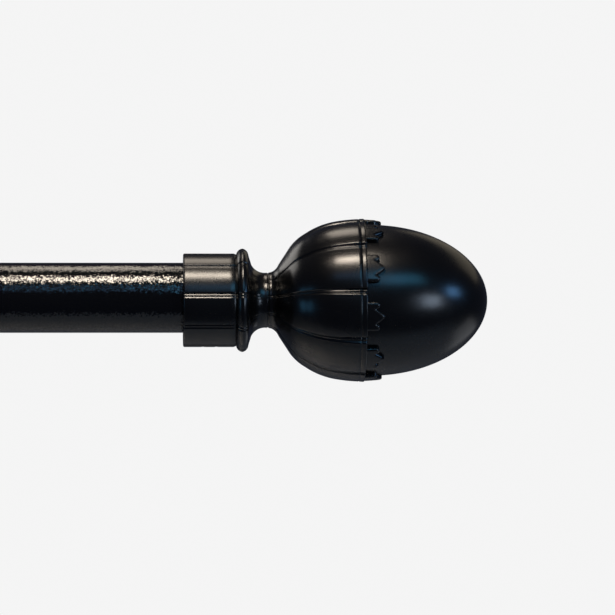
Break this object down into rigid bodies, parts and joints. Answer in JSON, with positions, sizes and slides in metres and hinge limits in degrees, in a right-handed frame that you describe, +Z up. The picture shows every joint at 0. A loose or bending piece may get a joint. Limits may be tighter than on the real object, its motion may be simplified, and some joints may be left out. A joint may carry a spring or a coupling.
{
  "type": "curtain rod with brackets",
  "caption": "Telescoping round curtain rod with acorn finials in lobed, seamed cups, held by wall brackets whose arms adjust in depth.",
  "frame": {"origin": "middle of the right wall plate, in the plane of the wall, at the height of the rod's axis", "axes": "+X along the rod towards the right finial's tip, +Y into the wall, +Z up"},
  "size_m": [0.8764, 0.1142, 0.076],
  "materials": {
    "rod_coat": "textured satin black powder coat on steel tube",
    "bracket_coat": "satin black powder coat on steel",
    "finial_enamel": "smooth semi-gloss black enamel on cast metal",
    "screw_steel": "zinc-plated steel",
    "screw_black": "black oxide steel",
    "black_nylon": "moulded black nylon",
    "insert_brass": "turned brass"
  },
  "bodies": {
    "right_base": {"right_wall_plate": "bracket_coat", "right_arm_socket": "bracket_coat", "right_socket_screw": "screw_steel"},
    "right_arm_lock": {"right_arm_thumbscrew": "screw_black"},
    "thick_rod": {"right_arm": "bracket_coat", "right_cradle": "bracket_coat", "right_cradle_screw": "screw_steel", "outer_tube": "rod_coat", "mouth_bush": "black_nylon"},
    "right_cradle_lock": {"right_cradle_thumbscrew": "screw_black"},
    "right_finial": {"right_finial_base": "finial_enamel", "right_finial_knob": "finial_enamel", "right_finial_insert": "insert_brass", "right_finial_bolt": "screw_steel"},
    "right_finial_lock": {"right_finial_grub_screw": "screw_black"},
    "thin_rod": {"left_arm": "bracket_coat", "left_cradle": "bracket_coat", "left_cradle_screw": "screw_steel", "inner_tube": "rod_coat", "guide_plug": "black_nylon", "finial_adapter": "black_nylon"},
    "left_cradle_lock": {"left_cradle_thumbscrew": "screw_black"},
    "left_finial": {"left_finial_base": "finial_enamel", "left_finial_knob": "finial_enamel", "left_finial_insert": "insert_brass", "left_finial_bolt": "screw_steel"},
    "left_finial_lock": {"left_finial_grub_screw": "screw_black"},
    "left_base": {"left_wall_plate": "bracket_coat", "left_arm_socket": "bracket_coat", "left_socket_screw": "screw_steel"},
    "left_arm_lock": {"left_arm_thumbscrew": "screw_black"}
  },
  "joints": [
    {"name": "right_projection", "type": "slide", "parent": "right_base", "child": "thick_rod", "axis": [0, -1, 0], "range_m": [0, 0.045]},
    {"name": "right_arm_lock_turn", "type": "hinge", "parent": "right_base", "child": "right_arm_lock", "pos_m": [0, -0.062, -0.012], "axis": [0, 0, -1], "range_deg": [0, 1080]},
    {"name": "right_cradle_lock_turn", "type": "hinge", "parent": "thick_rod", "child": "right_cradle_lock", "pos_m": [0, -0.092, -0.016], "axis": [0, 0, -1], "range_deg": [0, 1080]},
    {"name": "right_finial_pull", "type": "slide", "parent": "thick_rod", "child": "right_finial", "axis": [1, 0, 0], "range_m": [0, 0.012]},
    {"name": "right_finial_lock_turn", "type": "hinge", "parent": "right_finial", "child": "right_finial_lock", "pos_m": [0.1072, -0.092, -0.0115], "axis": [0, 0, -1], "range_deg": [0, 1080]},
    {"name": "rod_telescope", "type": "slide", "parent": "thick_rod", "child": "thin_rod", "axis": [-1, 0, 0], "range_m": [0, 0.496]},
    {"name": "left_cradle_lock_turn", "type": "hinge", "parent": "thin_rod", "child": "left_cradle_lock", "pos_m": [-0.511, -0.092, -0.016], "axis": [0, 0, -1], "range_deg": [0, 1080]},
    {"name": "left_finial_pull", "type": "slide", "parent": "thin_rod", "child": "left_finial", "axis": [-1, 0, 0], "range_m": [0, 0.012]},
    {"name": "left_finial_lock_turn", "type": "hinge", "parent": "left_finial", "child": "left_finial_lock", "pos_m": [-0.6182, -0.092, -0.0115], "axis": [0, 0, -1], "range_deg": [0, 1080]},
    {"name": "left_projection", "type": "slide", "parent": "thin_rod", "child": "left_base", "axis": [0, 1, 0], "range_m": [0, 0.045]},
    {"name": "left_arm_lock_turn", "type": "hinge", "parent": "left_base", "child": "left_arm_lock", "pos_m": [-0.511, -0.062, -0.012], "axis": [0, 0, -1], "range_deg": [0, 1080]}
  ],
  "couplings": [
    {"joint": "left_projection", "follows": "right_projection", "ratio": 1}
  ]
}
